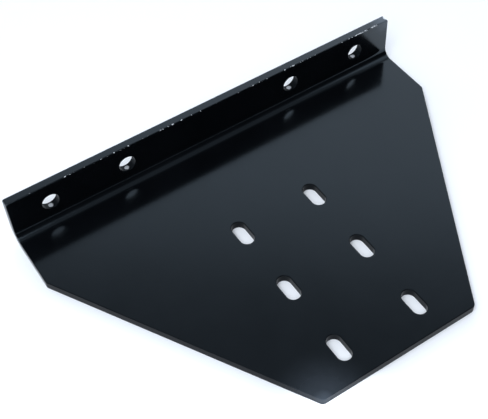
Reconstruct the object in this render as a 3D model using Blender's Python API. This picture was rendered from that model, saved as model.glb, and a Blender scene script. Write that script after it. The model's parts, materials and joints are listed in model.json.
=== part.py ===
"""Plow mount plate for an ATV: one steel plate, cut flat and press-braked.

The flat blank is a hexagon with six slots in its floor and four bolt holes in the strip
that becomes the flange. One fold turns that strip up at the back.

Frame: X runs along the fold, Y from the narrow front edge to the flange, Z up. The origin
is at the middle of the footprint, on the underside of the floor.
"""
from math import atan2, cos, hypot, pi, sin, tan

import bmesh
import bpy

# Driving dimensions, in metres
WIDTH = 0.3300
DEPTH = 0.2330
FRONT_WIDTH = 0.1234
SIDE_LENGTH = 0.0535
FLANGE_HEIGHT = 0.0420
THICKNESS = 0.00635
INNER_RADIUS = 0.0075

# Corner radii of the flat blank and the break left on every cut edge
FRONT_CORNER_RADIUS = 0.0040
SHOULDER_CORNER_RADIUS = 0.0015
FLANGE_CORNER_RADIUS = 0.0015
EDGE_BREAK = 0.0005

# Slots: two columns of three, measured back from the outer face of the flange
SLOT_LENGTH = 0.0214
SLOT_WIDTH = 0.0107
SLOT_COLUMN_SPACING = 0.0618
SLOT_FIRST_ROW = 0.0945
SLOT_ROW_SPACING = 0.0566
SLOT_ROWS = 3

# Flange bolt holes, centred on the width, at one height above the underside
HOLE_DIAMETER = 0.0134
HOLE_HEIGHT = 0.0246
HOLE_INNER_SPACING = 0.1440
HOLE_OUTER_SPACING = 0.2676

# Fold: the neutral fibre lies this share of the thickness out from the inner face
NEUTRAL_FIBRE = 0.45
FOLD_START = DEPTH - THICKNESS - INNER_RADIUS
FOLD_LENGTH = (INNER_RADIUS + NEUTRAL_FIBRE * THICKNESS) * pi / 2
FLANGE_FLAT = FLANGE_HEIGHT - THICKNESS - INNER_RADIUS
BLANK_LENGTH = FOLD_START + FOLD_LENGTH + FLANGE_FLAT

# Facets of the round stretches
CORNER_STEPS = 4
SLOT_END_STEPS = 12
HOLE_STEPS = 32
FOLD_STEPS = 10
EDGE_STEPS = 2

COAT_COLOUR = (0.012, 0.014, 0.017, 1.0)
COAT_ROUGHNESS = 0.28


def clear_scene():
    """Remove every object so that the script can run twice."""
    for item in list(bpy.data.objects):
        bpy.data.objects.remove(item, do_unlink=True)


def corner_arc(before, corner, after, radius):
    """Return the arc (centre u, centre v, radius, first angle, sweep) that rounds a corner."""
    turn_in = atan2(corner[1] - before[1], corner[0] - before[0])
    turn_out = atan2(after[1] - corner[1], after[0] - corner[0])
    sweep = (turn_out - turn_in) % (2 * pi)
    setback = radius * tan(sweep / 2)
    start_u = corner[0] - setback * cos(turn_in)
    start_v = corner[1] - setback * sin(turn_in)
    centre_u = start_u - radius * sin(turn_in)
    centre_v = start_v + radius * cos(turn_in)
    return centre_u, centre_v, radius, turn_in - pi / 2, sweep


def blank_outline():
    """Return the blank's outer edge as corner arcs, anticlockwise from the front."""
    half = WIDTH / 2
    front = FRONT_WIDTH / 2
    shoulder = DEPTH - SIDE_LENGTH
    corners = [
        (-front, 0.0, FRONT_CORNER_RADIUS),
        (front, 0.0, FRONT_CORNER_RADIUS),
        (half, shoulder, SHOULDER_CORNER_RADIUS),
        (half, BLANK_LENGTH, FLANGE_CORNER_RADIUS),
        (-half, BLANK_LENGTH, FLANGE_CORNER_RADIUS),
        (-half, shoulder, SHOULDER_CORNER_RADIUS),
    ]
    arcs = []
    for index, (u, v, radius) in enumerate(corners):
        before = corners[index - 1][:2]
        after = corners[(index + 1) % len(corners)][:2]
        arcs.append(corner_arc(before, (u, v), after, radius) + (CORNER_STEPS,))
    return arcs


def slot_outline(u, v):
    """Return a slot's edge as its two end arcs, with the slot running across the fold."""
    radius = SLOT_WIDTH / 2
    reach = (SLOT_LENGTH - SLOT_WIDTH) / 2
    return [
        (u, v + reach, radius, 0.0, pi, SLOT_END_STEPS),
        (u, v - reach, radius, pi, pi, SLOT_END_STEPS),
    ]


def hole_outline(u, v):
    """Return a round hole's edge as two half circles."""
    radius = HOLE_DIAMETER / 2
    return [
        (u, v, radius, 0.0, pi, HOLE_STEPS // 2),
        (u, v, radius, pi, pi, HOLE_STEPS // 2),
    ]


def opening_outlines():
    """Return the outlines of every slot and hole in the blank."""
    outlines = []
    for side in (-1, 1):
        for row in range(SLOT_ROWS):
            from_back = SLOT_FIRST_ROW + row * SLOT_ROW_SPACING
            outlines.append(slot_outline(side * SLOT_COLUMN_SPACING / 2, DEPTH - from_back))
    hole_v = BLANK_LENGTH - (FLANGE_HEIGHT - HOLE_HEIGHT)
    for spacing in (HOLE_INNER_SPACING, HOLE_OUTER_SPACING):
        for side in (-1, 1):
            outlines.append(hole_outline(side * spacing / 2, hole_v))
    return outlines


def outline_points(arcs, grow):
    """Return the outline's points with every arc's radius grown by a distance."""
    points = []
    for centre_u, centre_v, radius, first, sweep, steps in arcs:
        for step in range(steps + 1):
            angle = first + sweep * step / steps
            u = centre_u + (radius + grow) * cos(angle)
            v = centre_v + (radius + grow) * sin(angle)
            if not points or hypot(u - points[-1][0], v - points[-1][1]) > 1e-7:
                points.append((u, v))
    if hypot(points[0][0] - points[-1][0], points[0][1] - points[-1][1]) < 1e-7:
        points.pop()
    return points


def edge_profile():
    """Return (height, pull-in) pairs up a cut edge, with both rims rounded by the break."""
    rise = []
    for step in range(EDGE_STEPS + 1):
        angle = pi / 2 * step / EDGE_STEPS
        rise.append((EDGE_BREAK * (1 - cos(angle)), EDGE_BREAK * (1 - sin(angle))))
    return rise + [(THICKNESS - height, pull) for height, pull in reversed(rise)]


def add_wall(mesh, arcs, direction):
    """Add one cut edge of the blank; direction is -1 round the outside, 1 round an opening."""
    rings = []
    for height, pull in edge_profile():
        points = outline_points(arcs, direction * pull)
        rings.append([mesh.verts.new((u, v, height)) for u, v in points])
    for low, high in zip(rings, rings[1:]):
        for index in range(len(low)):
            after = (index + 1) % len(low)
            mesh.faces.new((low[index], low[after], high[after], high[index]))
    return rings[0], rings[-1]


def ring_edges(mesh, rings):
    """Return the edges that run round the given rings of vertices."""
    edges = []
    for ring in rings:
        for index, vertex in enumerate(ring):
            edges.append(mesh.edges.get((ring[index - 1], vertex)))
    return edges


def fold_point(v, height):
    """Return the folded (y, z) of a point of the blank."""
    centre_y = FOLD_START - DEPTH / 2
    centre_z = THICKNESS + INNER_RADIUS
    radius = centre_z - height
    if v <= FOLD_START:
        return v - DEPTH / 2, height
    if v >= FOLD_START + FOLD_LENGTH:
        return centre_y + radius, centre_z + v - FOLD_START - FOLD_LENGTH
    angle = (v - FOLD_START) / FOLD_LENGTH * pi / 2
    return centre_y + radius * sin(angle), centre_z - radius * cos(angle)


def fold(mesh):
    """Cut the blank into strips across the fold and roll them up."""
    for step in range(FOLD_STEPS + 1):
        line = FOLD_START + FOLD_LENGTH * step / FOLD_STEPS
        geometry = mesh.verts[:] + mesh.edges[:] + mesh.faces[:]
        bmesh.ops.bisect_plane(
            mesh, geom=geometry, dist=1e-7, plane_co=(0, line, 0), plane_no=(0, 1, 0))
    for vertex in mesh.verts:
        u, v, height = vertex.co
        vertex.co = (u, *fold_point(v, height))


def coat_material():
    """Return the semi-gloss black powder coat."""
    material = bpy.data.materials.new("black_powder_coat")
    material.use_nodes = True
    shader = material.node_tree.nodes["Principled BSDF"]
    shader.inputs["Base Color"].default_value = COAT_COLOUR
    shader.inputs["Roughness"].default_value = COAT_ROUGHNESS
    shader.inputs["Metallic"].default_value = 0.0
    return material


def build_mount_plate():
    """Make the plate: walls, both faces of the blank, then the fold."""
    mesh = bmesh.new()
    low_rings = []
    high_rings = []
    walls = [(blank_outline(), -1)] + [(arcs, 1) for arcs in opening_outlines()]
    for arcs, direction in walls:
        low, high = add_wall(mesh, arcs, direction)
        low_rings.append(low)
        high_rings.append(high)
    for rings in (low_rings, high_rings):
        bmesh.ops.triangle_fill(mesh, use_beauty=True, edges=ring_edges(mesh, rings))
    fold(mesh)
    bmesh.ops.recalc_face_normals(mesh, faces=mesh.faces[:])

    data = bpy.data.meshes.new("mount_plate")
    mesh.to_mesh(data)
    mesh.free()
    data.shade_smooth()
    data.set_sharp_from_angle(angle=pi / 6)
    data.materials.append(coat_material())
    plate = bpy.data.objects.new("mount_plate", data)
    bpy.context.collection.objects.link(plate)
    return plate


clear_scene()
build_mount_plate()
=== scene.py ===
"""Looks for the ATV plow mount plate: a bent steel plate in chipped black powder coat."""

import json
from math import atan2, cos, hypot, pi, radians, sin, tan

import bmesh
import bpy
from mathutils import Matrix, Vector


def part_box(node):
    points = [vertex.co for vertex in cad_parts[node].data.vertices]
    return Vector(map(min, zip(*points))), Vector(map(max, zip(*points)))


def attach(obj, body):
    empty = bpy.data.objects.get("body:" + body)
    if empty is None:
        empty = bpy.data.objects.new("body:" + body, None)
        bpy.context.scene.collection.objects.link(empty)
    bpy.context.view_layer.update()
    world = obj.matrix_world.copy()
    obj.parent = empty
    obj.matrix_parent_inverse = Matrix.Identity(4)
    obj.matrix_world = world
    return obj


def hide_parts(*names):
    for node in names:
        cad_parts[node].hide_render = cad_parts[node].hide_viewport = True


MM = 0.001

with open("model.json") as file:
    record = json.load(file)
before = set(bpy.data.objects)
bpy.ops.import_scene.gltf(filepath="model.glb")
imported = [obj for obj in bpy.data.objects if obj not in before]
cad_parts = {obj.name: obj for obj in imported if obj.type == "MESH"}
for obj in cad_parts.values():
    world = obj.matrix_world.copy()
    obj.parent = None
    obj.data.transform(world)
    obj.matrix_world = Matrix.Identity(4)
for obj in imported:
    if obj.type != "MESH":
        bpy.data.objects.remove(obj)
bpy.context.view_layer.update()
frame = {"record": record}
record = frame["record"]
NODE = "mount_plate"
plate_low, plate_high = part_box(NODE)
mounts = {mount["name"]: Vector(mount["pos_m"]) for mount in record["mounts"]}
openings = {box["name"]: box["box_m"] for box in record["physics"]["openings"]}

# Sizes read from the frame
WIDTH = plate_high.x - plate_low.x
DEPTH = plate_high.y - plate_low.y
FLANGE_HEIGHT = plate_high.z
THICKNESS = mounts["floor_top"].z

# Sizes that the frame doesn't state, the same as the design's
FRONT_WIDTH = 123.4 * MM
SIDE_LENGTH = 53.5 * MM
INNER_RADIUS = 7.5 * MM
SLOT_LENGTH = 21.4 * MM
SLOT_WIDTH = 10.7 * MM
HOLE_DIAMETER = 13.4 * MM
FRONT_CORNER_RADIUS = 4 * MM
SHOULDER_CORNER_RADIUS = 1.5 * MM
FLANGE_CORNER_RADIUS = 1.5 * MM
COATED_EDGE_RADIUS = 0.4 * MM
HOLDING_STRIP = 0.35 * MM

# The fold, in the flat blank's own lengths
NEUTRAL_FIBRE = 0.45
FOLD_START = DEPTH - THICKNESS - INNER_RADIUS
FOLD_LENGTH = (INNER_RADIUS + NEUTRAL_FIBRE * THICKNESS) * pi / 2
FOLD_END = FOLD_START + FOLD_LENGTH
BLANK_LENGTH = FOLD_END + FLANGE_HEIGHT - THICKNESS - INNER_RADIUS

CORNER_STEPS = 10
SLOT_END_STEPS = 32
HOLE_STEPS = 72
FOLD_STEPS = 28
EDGE_STEPS = 5
SAME_POINT = 1e-7

# The flange's top edge carries the same smooth coat as the flat faces
TOP_BAND = 2 * MM

FLAT = 0
CUT = 1

# Wear: chips to bare steel strewn along the flange's front top edge and crowded over the outer
# right hole; also pale steel-coloured spots at the flange's right top corner and at the bottom of
# each hole
RIM_CHIP_CORE = 0.25 * MM
RIM_CHIP_REACH = 0.7 * MM
RIM_CHIP_NOISE = 520
RIM_CHIPS_SPARSE = 0.66
RIM_CHIPS_DENSE = 0.50
CROWD_MIDDLE = 0.42 * WIDTH
CROWD_INNER = 0.02 * WIDTH
CROWD_OUTER = 0.05 * WIDTH
CORNER_STEEL_SPOT_RADIUS = 2 * MM
HOLE_STEEL_SPOT_RADIUS = 0.13 * HOLE_DIAMETER
HOLE_STEEL_SPOT = 0.45

# Painted highlight: a paler coat round the floor's front left corner, and at the flange's right
# end, standing for light caught there
FRONT_HIGHLIGHT_RADIUS = 20 * MM
FRONT_HIGHLIGHT = 0.3
TIP_HIGHLIGHT_RADIUS = 8 * MM
TIP_HIGHLIGHT = 0.55
FLANGE_HIGHLIGHT_RADIUS = 9 * MM
FLANGE_HIGHLIGHT = 1.0

# Colours of the coat and of the steel under it
COAT_DARK = (0.0010, 0.0013, 0.0018, 1)
COAT_LIGHT = (0.0020, 0.0024, 0.0031, 1)
# painted highlight: the paler coat colour laid over the two corners
PAINTED_HIGHLIGHT_COAT = (0.065, 0.078, 0.095, 1)
STEEL_DARK = (0.62, 0.64, 0.67, 1)
STEEL_LIGHT = (0.92, 0.93, 0.95, 1)
COAT_TINT = (0.80, 1.0, 1.15, 1)
COAT_IOR = 1.5
COAT_ROUGHNESS = 0.16
CUT_IOR = 1.165
CUT_ROUGHNESS = 0.22
CHIP_METALLIC = 0.55
CHIP_ROUGHNESS = 0.45
HIGHLIGHT_PATCH_DULLNESS = 0.10
PEEL_STRENGTH = 0.1
PEEL_DEPTH = 0.1 * MM
PEEL_NOISE = 420
RAGGED_PUSH = 1.2 * MM
RAGGED_NOISE = 700
NOISE_LOW = 0.3
NOISE_HIGH = 0.7

FLOOR_WHITE = (0.90, 0.90, 0.90, 1)
FLOOR_ROUGHNESS = 0.6
FLOOR_HALF_SIZE = 4.0
FLOOR_GAP = 0.2 * MM

# Studio: softboxes as (name, azimuth, elevation, distance, width, height, radiance)
LIGHT_TINT = (0.93, 1.0, 1.1)
WALL_AZIMUTH = 36.6
SOFTBOXES = [
    ("top_box", -90, 70, 1.5, 0.9, 0.9, 1.9),
    ("front_box", -135, 55, 1.5, 1.0, 1.0, 5.1),
    ("right_box", 98, 38, 1.5, 1.0, 1.0, 0.8),
]
SPOT_AZIMUTH = -150
SPOT_ELEVATION = 55
SPOT_DISTANCE = 1.0
SPOT_ANGLE = 4.4
SPOT_RADIUS = 0.02
SPOT_POWER = 80
SPOT_AIM = Vector((-63 * MM, -142 * MM, 0))

CAMERA_AZIMUTH = 30.761
CAMERA_ELEVATION = 50.837
CAMERA_ROLL = -3.218
CAMERA_TARGET = Vector((-15.89 * MM, 43.70 * MM, 0))
CAMERA_DISTANCE = 731.8 * MM
CAMERA_SENSOR = 36
CAMERA_LENS = 74.46


# ---------------------------------------------------------------- the plate's shape


def corner_arc(before, corner, after, radius):
    """Return the arc (centre u, centre v, radius, first angle, sweep) that rounds a corner."""
    turn_in = atan2(corner[1] - before[1], corner[0] - before[0])
    turn_out = atan2(after[1] - corner[1], after[0] - corner[0])
    sweep = (turn_out - turn_in) % (2 * pi)
    setback = radius * tan(sweep / 2)
    start_u = corner[0] - setback * cos(turn_in)
    start_v = corner[1] - setback * sin(turn_in)
    centre_u = start_u - radius * sin(turn_in)
    centre_v = start_v + radius * cos(turn_in)
    return centre_u, centre_v, radius, turn_in - pi / 2, sweep


def blank_outline():
    """Return the blank's outer edge as corner arcs, anticlockwise from the front."""
    half = WIDTH / 2
    front = FRONT_WIDTH / 2
    shoulder = DEPTH - SIDE_LENGTH
    corners = [
        (-front, 0.0, FRONT_CORNER_RADIUS),
        (front, 0.0, FRONT_CORNER_RADIUS),
        (half, shoulder, SHOULDER_CORNER_RADIUS),
        (half, BLANK_LENGTH, FLANGE_CORNER_RADIUS),
        (-half, BLANK_LENGTH, FLANGE_CORNER_RADIUS),
        (-half, shoulder, SHOULDER_CORNER_RADIUS),
    ]
    arcs = []
    for index, (u, v, radius) in enumerate(corners):
        before = corners[index - 1][:2]
        after = corners[(index + 1) % len(corners)][:2]
        arcs.append(corner_arc(before, (u, v), after, radius) + (CORNER_STEPS,))
    return arcs


def end_arcs(u, v, length, width, steps):
    """Return the two end arcs of a slot; a length equal to the width gives a round hole."""
    radius = width / 2
    reach = (length - width) / 2
    return [
        (u, v + reach, radius, 0.0, pi, steps),
        (u, v - reach, radius, pi, pi, steps),
    ]


def opening_outlines():
    """Return each slot and hole, centred on the box that the record states for it."""
    outlines = []
    for name, (low, high) in openings.items():
        middle = (Vector(low) + Vector(high)) / 2
        if name.startswith("slot_"):
            v = middle.y - plate_low.y
            outlines.append(end_arcs(middle.x, v, SLOT_LENGTH, SLOT_WIDTH, SLOT_END_STEPS))
        if name.startswith("hole_"):
            v = BLANK_LENGTH - (FLANGE_HEIGHT - middle.z)
            outlines.append(end_arcs(middle.x, v, HOLE_DIAMETER, HOLE_DIAMETER, HOLE_STEPS // 2))
    return outlines


def outline_points(arcs, grow):
    """Return the outline's points with every arc's radius grown by a distance."""
    points = []
    for centre_u, centre_v, radius, first, sweep, steps in arcs:
        for step in range(steps + 1):
            angle = first + sweep * step / steps
            u = centre_u + (radius + grow) * cos(angle)
            v = centre_v + (radius + grow) * sin(angle)
            if not points or hypot(u - points[-1][0], v - points[-1][1]) > SAME_POINT:
                points.append((u, v))
    if hypot(points[0][0] - points[-1][0], points[0][1] - points[-1][1]) < SAME_POINT:
        points.pop()
    return points


def edge_profile():
    """Return (height, pull-in) pairs up a cut edge, with a flat strip on both sides of each rim."""
    rise = [(0.0, COATED_EDGE_RADIUS + HOLDING_STRIP)]
    for step in range(EDGE_STEPS + 1):
        angle = pi / 2 * step / EDGE_STEPS
        rise.append((COATED_EDGE_RADIUS * (1 - cos(angle)), COATED_EDGE_RADIUS * (1 - sin(angle))))
    rise.append((COATED_EDGE_RADIUS + HOLDING_STRIP, 0.0))
    return rise + [(THICKNESS - height, pull) for height, pull in reversed(rise)]


def add_wall(mesh, arcs, direction):
    """Add one cut edge of the blank; direction is -1 round the outside, 1 round an opening."""
    profile = edge_profile()
    rings = []
    for height, pull in profile:
        points = outline_points(arcs, direction * pull)
        rings.append([mesh.verts.new((u, v, height)) for u, v in points])
    for level, (low, high) in enumerate(zip(rings, rings[1:])):
        on_cut = 0 < level < len(rings) - 2
        for index in range(len(low)):
            after = (index + 1) % len(low)
            face = mesh.faces.new((low[index], low[after], high[after], high[index]))
            on_top = direction < 0 and face.calc_center_median().y > BLANK_LENGTH - TOP_BAND
            face.material_index = CUT if on_cut and not on_top else FLAT
    return rings[0], rings[-1]


def ring_edges(mesh, rings):
    """Return the edges that run round the given rings of vertices."""
    edges = []
    for ring in rings:
        for index, vertex in enumerate(ring):
            edges.append(mesh.edges.get((ring[index - 1], vertex)))
    return edges


def fold_point(v, height):
    """Return the folded (y, z) of a point of the blank."""
    centre_y = plate_low.y + FOLD_START
    centre_z = THICKNESS + INNER_RADIUS
    radius = centre_z - height
    if v <= FOLD_START:
        return plate_low.y + v, height
    if v >= FOLD_END:
        return centre_y + radius, centre_z + v - FOLD_END
    angle = (v - FOLD_START) / FOLD_LENGTH * pi / 2
    return centre_y + radius * sin(angle), centre_z - radius * cos(angle)


def fold(mesh):
    """Cut the blank into strips across the fold, with a flat one on each side, and roll it up."""
    lines = [FOLD_START + FOLD_LENGTH * step / FOLD_STEPS for step in range(FOLD_STEPS + 1)]
    for line in [FOLD_START - HOLDING_STRIP, *lines, FOLD_END + HOLDING_STRIP]:
        geometry = mesh.verts[:] + mesh.edges[:] + mesh.faces[:]
        bmesh.ops.bisect_plane(
            mesh, geom=geometry, dist=SAME_POINT, plane_co=(0, line, 0), plane_no=(0, 1, 0))
    for vertex in mesh.verts:
        u, v, height = vertex.co
        vertex.co = (u, *fold_point(v, height))


def build_plate(materials):
    """Make the coated plate as one closed mesh and let it stand for the CAD node."""
    mesh = bmesh.new()
    low_rings = []
    high_rings = []
    walls = [(blank_outline(), -1)] + [(arcs, 1) for arcs in opening_outlines()]
    for arcs, direction in walls:
        low, high = add_wall(mesh, arcs, direction)
        low_rings.append(low)
        high_rings.append(high)
    for rings in (low_rings, high_rings):
        bmesh.ops.triangle_fill(mesh, use_beauty=True, edges=ring_edges(mesh, rings))
    fold(mesh)
    bmesh.ops.recalc_face_normals(mesh, faces=mesh.faces[:])

    data = bpy.data.meshes.new("coated_plate")
    mesh.to_mesh(data)
    mesh.free()
    data.shade_smooth()
    for material in materials:
        data.materials.append(material)
    plate = bpy.data.objects.new("coated_plate", data)
    bpy.context.collection.objects.link(plate)
    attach(plate, "root")
    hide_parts(NODE)
    return plate


# ---------------------------------------------------------------- materials


def new_material(name):
    """Return a material, its node tree and its Principled shader."""
    material = bpy.data.materials.new(name)
    material.use_nodes = True
    return material, material.node_tree, material.node_tree.nodes["Principled BSDF"]


def noise(tree, vector, scale, detail=2.0, roughness=0.5):
    """Add a noise texture and return its value socket."""
    node = tree.nodes.new("ShaderNodeTexNoise")
    node.inputs["Scale"].default_value = scale
    node.inputs["Detail"].default_value = detail
    node.inputs["Roughness"].default_value = roughness
    tree.links.new(vector, node.inputs["Vector"])
    return node.outputs["Fac"]


def remap(tree, value, low, high, to_low, to_high, kind="LINEAR"):
    """Add a clamped Map Range and return its result socket."""
    node = tree.nodes.new("ShaderNodeMapRange")
    node.interpolation_type = kind
    node.inputs["From Min"].default_value = low
    node.inputs["From Max"].default_value = high
    node.inputs["To Min"].default_value = to_low
    node.inputs["To Max"].default_value = to_high
    tree.links.new(value, node.inputs["Value"])
    return node.outputs["Result"]


def math(tree, operation, first, second):
    """Add a Math node on two sockets or numbers and return its value socket."""
    node = tree.nodes.new("ShaderNodeMath")
    node.operation = operation
    for index, value in enumerate((first, second)):
        if isinstance(value, (int, float)):
            node.inputs[index].default_value = value
        else:
            tree.links.new(value, node.inputs[index])
    return node.outputs["Value"]


def mix(tree, kind, factor, first, second):
    """Add a Mix node of kind FLOAT or RGBA on sockets or values and return its result socket."""
    node = tree.nodes.new("ShaderNodeMix")
    node.data_type = kind
    sockets = [socket for socket in node.inputs if socket.enabled]
    for socket, value in zip(sockets, (factor, first, second)):
        if isinstance(value, bpy.types.NodeSocket):
            tree.links.new(value, socket)
        else:
            socket.default_value = value
    return next(socket for socket in node.outputs if socket.enabled)


def shift(tree, place, amount, scale):
    """Return the place pushed about by noise, so that spots get ragged edges."""
    cloud = tree.nodes.new("ShaderNodeTexNoise")
    cloud.inputs["Scale"].default_value = scale
    tree.links.new(place, cloud.inputs["Vector"])
    centred = tree.nodes.new("ShaderNodeVectorMath")
    centred.operation = "SUBTRACT"
    tree.links.new(cloud.outputs["Color"], centred.inputs[0])
    centred.inputs[1].default_value = (0.5, 0.5, 0.5)
    pushed = tree.nodes.new("ShaderNodeVectorMath")
    pushed.operation = "MULTIPLY_ADD"
    tree.links.new(centred.outputs["Vector"], pushed.inputs[0])
    pushed.inputs[1].default_value = (amount, amount, amount)
    tree.links.new(place, pushed.inputs[2])
    return pushed.outputs["Vector"]


def spots(tree, place, places, softness):
    """Return a mask that fills the given (centre, radius, strength) spots."""
    mask = None
    for centre, radius, strength in places:
        reach = tree.nodes.new("ShaderNodeVectorMath")
        reach.operation = "DISTANCE"
        tree.links.new(place, reach.inputs[0])
        reach.inputs[1].default_value = centre
        inner = radius * (1 - softness)
        outer = radius * (1 + softness)
        spot = remap(tree, reach.outputs["Value"], inner, outer, strength, 0.0, "SMOOTHSTEP")
        mask = spot if mask is None else math(tree, "MAXIMUM", mask, spot)
    return mask


def flange_right_corner():
    """Return the middle of the flange's top edge at its right end."""
    return Vector((plate_high.x, plate_high.y - THICKNESS / 2, FLANGE_HEIGHT))


def steel_spot_places():
    """Return the pale steel-coloured spots: the flange's right top corner and each hole's bottom.
    """
    places = [(flange_right_corner(), CORNER_STEEL_SPOT_RADIUS, 1.0)]
    for name, (low, high) in openings.items():
        if name.startswith("hole_"):
            middle = (Vector(low) + Vector(high)) / 2
            bottom = Vector((middle.x, plate_high.y - THICKNESS / 2, middle.z - HOLE_DIAMETER / 2))
            places.append((bottom, HOLE_STEEL_SPOT_RADIUS, HOLE_STEEL_SPOT))
    return places


def painted_highlight_places():
    """Return the spots where the coat is painted paler as a highlight."""
    front_left = Vector((-FRONT_WIDTH / 2, plate_low.y, THICKNESS))
    return [(front_left, FRONT_HIGHLIGHT_RADIUS, FRONT_HIGHLIGHT),
            (front_left, TIP_HIGHLIGHT_RADIUS, TIP_HIGHLIGHT),
            (flange_right_corner(), FLANGE_HIGHLIGHT_RADIUS, FLANGE_HIGHLIGHT)]


def rim_chips(tree, place):
    """Return a mask of chips strewn by noise along the flange's front top edge."""
    section = tree.nodes.new("ShaderNodeVectorMath")
    section.operation = "MULTIPLY"
    tree.links.new(place, section.inputs[0])
    section.inputs[1].default_value = (0, 1, 1)
    reach = tree.nodes.new("ShaderNodeVectorMath")
    reach.operation = "DISTANCE"
    tree.links.new(section.outputs["Vector"], reach.inputs[0])
    reach.inputs[1].default_value = (0, plate_high.y - THICKNESS, FLANGE_HEIGHT)
    near = remap(tree, reach.outputs["Value"], RIM_CHIP_CORE, RIM_CHIP_REACH, 1.0, 0.0)
    split = tree.nodes.new("ShaderNodeSeparateXYZ")
    tree.links.new(place, split.inputs["Vector"])
    from_crowd = math(tree, "ABSOLUTE", math(tree, "SUBTRACT", split.outputs["X"], CROWD_MIDDLE), 0)
    limit = remap(tree, from_crowd, CROWD_INNER, CROWD_OUTER, RIM_CHIPS_DENSE, RIM_CHIPS_SPARSE)
    chipped = math(tree, "GREATER_THAN", noise(tree, place, RIM_CHIP_NOISE), limit)
    return math(tree, "MULTIPLY", near, chipped)


def coat_material(name, ior, roughness):
    """Return the powder coat: painted paler as a highlight at two corners, with chips and spots of
    steel in places.
    """
    material, tree, shader = new_material(name)
    place = tree.nodes.new("ShaderNodeTexCoord").outputs["Object"]
    ragged = shift(tree, place, RAGGED_PUSH, RAGGED_NOISE)
    bare = math(tree, "MAXIMUM", spots(tree, ragged, steel_spot_places(), 0.25), rim_chips(tree, ragged))
    # mask of the painted highlight: the paler spots at the two corners
    painted_highlight = math(tree, "MULTIPLY", spots(tree, place, painted_highlight_places(), 0.9),
                remap(tree, noise(tree, place, 160, 4), NOISE_LOW, NOISE_HIGH, 0.8, 1.0))

    tone = remap(tree, noise(tree, place, 24, 3), NOISE_LOW, NOISE_HIGH, 0.0, 1.0)
    coat = mix(tree, "RGBA", tone, COAT_DARK, COAT_LIGHT)
    # paint the highlight: the coat turns paler over the corner spots
    coat = mix(tree, "RGBA", painted_highlight, coat, PAINTED_HIGHLIGHT_COAT)
    steel = mix(tree, "RGBA", noise(tree, place, 900, 3), STEEL_DARK, STEEL_LIGHT)
    tree.links.new(mix(tree, "RGBA", bare, coat, steel), shader.inputs["Base Color"])
    tree.links.new(math(tree, "MULTIPLY", bare, CHIP_METALLIC), shader.inputs["Metallic"])

    cloud = noise(tree, place, 60, 4)
    rough = remap(tree, cloud, NOISE_LOW, NOISE_HIGH, roughness * 0.85, roughness)
    rough = math(tree, "ADD", rough, math(tree, "MULTIPLY", painted_highlight, HIGHLIGHT_PATCH_DULLNESS))
    tree.links.new(mix(tree, "FLOAT", bare, rough, CHIP_ROUGHNESS), shader.inputs["Roughness"])
    shader.inputs["IOR"].default_value = ior
    shader.inputs["Specular Tint"].default_value = COAT_TINT

    peel = math(tree, "ADD", noise(tree, place, PEEL_NOISE, 2), math(tree, "MULTIPLY", bare, -2.0))
    bump = tree.nodes.new("ShaderNodeBump")
    bump.inputs["Strength"].default_value = PEEL_STRENGTH
    bump.inputs["Distance"].default_value = PEEL_DEPTH
    tree.links.new(peel, bump.inputs["Height"])
    tree.links.new(bump.outputs["Normal"], shader.inputs["Normal"])
    return material


def floor_material():
    """Return the floor's plain matt white."""
    material, tree, shader = new_material("studio_floor")
    shader.inputs["Base Color"].default_value = FLOOR_WHITE
    shader.inputs["Roughness"].default_value = FLOOR_ROUGHNESS
    return material


# ---------------------------------------------------------------- studio


def build_floor():
    """Lay a wide pale floor just under the plate."""
    mesh = bmesh.new()
    bmesh.ops.create_grid(mesh, x_segments=1, y_segments=1, size=FLOOR_HALF_SIZE)
    data = bpy.data.meshes.new("studio_floor")
    mesh.to_mesh(data)
    mesh.free()
    data.materials.append(floor_material())
    floor = bpy.data.objects.new("studio_floor", data)
    floor.location.z = plate_low.z - FLOOR_GAP
    bpy.context.collection.objects.link(floor)


def direction(azimuth, elevation):
    """Return the unit vector at an azimuth from +Y towards +X and an elevation."""
    a = radians(azimuth)
    e = radians(elevation)
    return Vector((sin(a) * cos(e), cos(a) * cos(e), sin(e)))


def softbox(name, azimuth, elevation, distance, width, height, radiance):
    """Hang a rectangular softbox that faces the plate."""
    light = bpy.data.lights.new(name, "AREA")
    light.shape = "RECTANGLE"
    light.size = width
    light.size_y = height
    light.color = LIGHT_TINT
    light.energy = radiance * width * height * pi
    lamp = bpy.data.objects.new(name, light)
    aim = direction(azimuth, elevation)
    lamp.location = aim * distance
    lamp.rotation_euler = aim.to_track_quat("Z", "Y").to_euler()
    bpy.context.collection.objects.link(lamp)


def corner_spot():
    """Add a narrow spot that pools on the floor by the front left corner."""
    light = bpy.data.lights.new("corner_spot", "SPOT")
    light.spot_size = radians(SPOT_ANGLE)
    light.spot_blend = 1.0
    light.shadow_soft_size = SPOT_RADIUS
    light.energy = SPOT_POWER
    light.color = LIGHT_TINT
    lamp = bpy.data.objects.new("corner_spot", light)
    aim = direction(SPOT_AZIMUTH, SPOT_ELEVATION)
    lamp.location = SPOT_AIM + aim * SPOT_DISTANCE
    lamp.rotation_euler = aim.to_track_quat("Z", "Y").to_euler()
    bpy.context.collection.objects.link(lamp)


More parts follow.
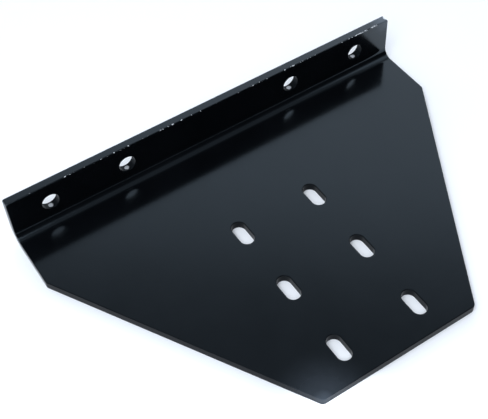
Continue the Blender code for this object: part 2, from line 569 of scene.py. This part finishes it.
def build_world():
    """Light the room from a tall pale wall behind, leaving the front side dim.

    The wall is brightest low down and fades out towards its top edge. Its rise is the
    tangent of the elevation seen square on to it.
    """
    world = bpy.data.worlds.new("studio")
    world.use_nodes = True
    tree = world.node_tree
    background = tree.nodes["Background"]
    background.inputs["Color"].default_value = (*LIGHT_TINT, 1)
    place = tree.nodes.new("ShaderNodeTexCoord").outputs["Generated"]
    split = tree.nodes.new("ShaderNodeSeparateXYZ")
    tree.links.new(place, split.inputs["Vector"])
    towards_wall = math(tree, "ADD",
                        math(tree, "MULTIPLY", split.outputs["X"], sin(radians(WALL_AZIMUTH))),
                        math(tree, "MULTIPLY", split.outputs["Y"], cos(radians(WALL_AZIMUTH))))
    rise = math(tree, "DIVIDE", split.outputs["Z"], math(tree, "MAXIMUM", towards_wall, 0.05))
    low = remap(tree, rise, 0.62, 0.90, 2.2, 1.0, "SMOOTHSTEP")
    high = remap(tree, rise, 1.08, 1.56, 1.05, 0.24, "SMOOTHSTEP")
    wall = math(tree, "MULTIPLY", low, high)
    shade = remap(tree, split.outputs["Y"], -0.72, -0.44, 0.12, 1.0, "SMOOTHSTEP")
    left = remap(tree, split.outputs["X"], -0.50, -0.05, 0.45, 0.0, "SMOOTHSTEP")
    right = remap(tree, split.outputs["X"], 0.58, 0.88, 1.0, 0.15, "SMOOTHSTEP")
    lit = math(tree, "MULTIPLY", math(tree, "MULTIPLY", wall, shade), right)
    room = math(tree, "ADD", lit, left)
    tree.links.new(room, background.inputs["Strength"])
    bpy.context.scene.world = world


def build_camera():
    """Place the camera by its bearing from the plate."""
    look = direction(CAMERA_AZIMUTH, -CAMERA_ELEVATION)
    data = bpy.data.cameras.new("camera")
    data.sensor_fit = "HORIZONTAL"
    data.sensor_width = CAMERA_SENSOR
    data.lens = CAMERA_LENS
    data.clip_start = 0.01
    camera = bpy.data.objects.new("camera", data)
    turn = look.to_track_quat("-Z", "Y").to_matrix().to_4x4()
    place = Matrix.Translation(CAMERA_TARGET - look * CAMERA_DISTANCE)
    camera.matrix_world = place @ turn @ Matrix.Rotation(radians(CAMERA_ROLL), 4, "Z")
    bpy.context.collection.objects.link(camera)
    bpy.context.scene.camera = camera


coat = coat_material("powder_coat", COAT_IOR, COAT_ROUGHNESS)
cut = coat_material("powder_coat_on_cut_edge", CUT_IOR, CUT_ROUGHNESS)
build_plate([coat, cut])
build_floor()
build_world()
for box in SOFTBOXES:
    softbox(*box)
corner_spot()
build_camera()
bpy.context.scene.view_settings.view_transform = "Standard"
